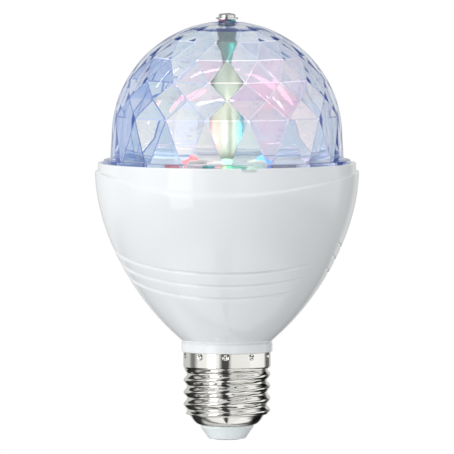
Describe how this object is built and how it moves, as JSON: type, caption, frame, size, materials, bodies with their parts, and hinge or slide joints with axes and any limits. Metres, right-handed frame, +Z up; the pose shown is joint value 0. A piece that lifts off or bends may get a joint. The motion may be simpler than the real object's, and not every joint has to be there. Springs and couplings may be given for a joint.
{
  "type": "disco ball light",
  "caption": "Rotating disco lamp on a screw cap: gloss white tapering housing with swept grooves, and a clear faceted dome turned by a geared motor over coloured lights.",
  "frame": {"origin": "centre of the cap contact's lowest face, on the lamp's axis", "axes": "+Z up along the lamp's axis from the cap to the dome, -Y towards the front, +X to the right"},
  "size_m": [0.0792, 0.0784, 0.128],
  "materials": {
    "cap_nickel": "bright rolled nickel plate",
    "contact_tin": "soft tin-plated metal",
    "insulator_glass": "pale blue-white moulded insulator, slightly glossy",
    "housing_white": "high-gloss white moulded plastic",
    "crystal": "clear polished acrylic, faceted inside",
    "post_steel": "turned bright metal",
    "screw_steel": "bright plated steel",
    "board_white": "white solder mask on an aluminium plate",
    "light_base": "white ceramic-filled resin",
    "lens_red": "red tinted clear resin",
    "lens_green": "green tinted clear resin",
    "lens_blue": "blue tinted clear resin",
    "driver_green": "green solder mask",
    "film_yellow": "yellow moulded box",
    "black_moulding": "black moulded epoxy",
    "capacitor_sleeve": "dark shrink sleeve",
    "ferrite": "dark sintered ferrite",
    "fuse_body": "pale blue lacquer",
    "lead_red": "soft red insulation",
    "lead_blue": "soft blue insulation",
    "lead_yellow": "soft yellow insulation",
    "lead_black": "soft black insulation",
    "motor_steel": "zinc-plated pressed steel",
    "bobbin_nylon": "natural nylon",
    "copper_wire": "enamelled copper winding",
    "pin_steel": "ground steel",
    "gear_acetal": "white acetal",
    "bush_brass": "sintered brass"
  },
  "bodies": {
    "lamp_body": {"centre_contact": "contact_tin", "cap_insulator": "insulator_glass", "screw_cap": "cap_nickel", "housing": "housing_white", "driver_board": "driver_green", "film_capacitor": "film_yellow", "electrolytic_capacitor": "capacitor_sleeve", "bridge_rectifier": "black_moulding", "driver_chip": "black_moulding", "choke": "ferrite", "fuse_resistor": "fuse_body", "lead_centre": "lead_red", "lead_shell": "lead_blue", "motor_lead_1": "lead_red", "motor_lead_2": "lead_blue", "light_lead_1": "lead_yellow", "light_lead_2": "lead_black", "motor_can": "motor_steel", "coil_bobbin": "bobbin_nylon", "coil_winding": "copper_wire", "pole_plate": "motor_steel", "centre_pin": "pin_steel", "gear_axle_a": "pin_steel", "gear_axle_b": "pin_steel", "motor_cover": "motor_steel", "output_bush": "bush_brass", "motor_screw_1": "screw_steel", "motor_screw_2": "screw_steel", "light_board": "board_white", "board_screw_1": "screw_steel", "board_screw_2": "screw_steel", "board_screw_3": "screw_steel", "light_red": "light_base", "lens_red": "lens_red", "light_green": "light_base", "lens_green": "lens_green", "light_blue": "light_base", "lens_blue": "lens_blue"},
    "dome": {"crystal_dome": "crystal", "top_washer": "screw_steel", "top_screw": "screw_steel", "drive_post": "post_steel", "output_shaft": "pin_steel", "output_gear": "gear_acetal"},
    "gear_b": {"gear_b": "gear_acetal"},
    "gear_a": {"gear_a": "gear_acetal"},
    "rotor": {"rotor_magnet": "ferrite", "rotor_pinion": "gear_acetal"}
  },
  "joints": [
    {"name": "dome_spin", "type": "hinge", "parent": "lamp_body", "child": "dome", "pos_m": [0, 0, 0], "axis": [0, 0, 1], "continuous": true},
    {"name": "gear_b_spin", "type": "hinge", "parent": "lamp_body", "child": "gear_b", "pos_m": [0.0054, 0.00935, 0.0505], "axis": [0, 0, 1], "continuous": true},
    {"name": "gear_a_spin", "type": "hinge", "parent": "lamp_body", "child": "gear_a", "pos_m": [0.0108, 0, 0.0505], "axis": [0, 0, 1], "continuous": true},
    {"name": "rotor_spin", "type": "hinge", "parent": "lamp_body", "child": "rotor", "pos_m": [0, 0, 0.0505], "axis": [0, 0, 1], "continuous": true}
  ],
  "couplings": [
    {"joint": "gear_b_spin", "follows": "dome_spin", "ratio": -3.5},
    {"joint": "gear_a_spin", "follows": "dome_spin", "ratio": 12.25},
    {"joint": "rotor_spin", "follows": "dome_spin", "ratio": -42.875}
  ]
}
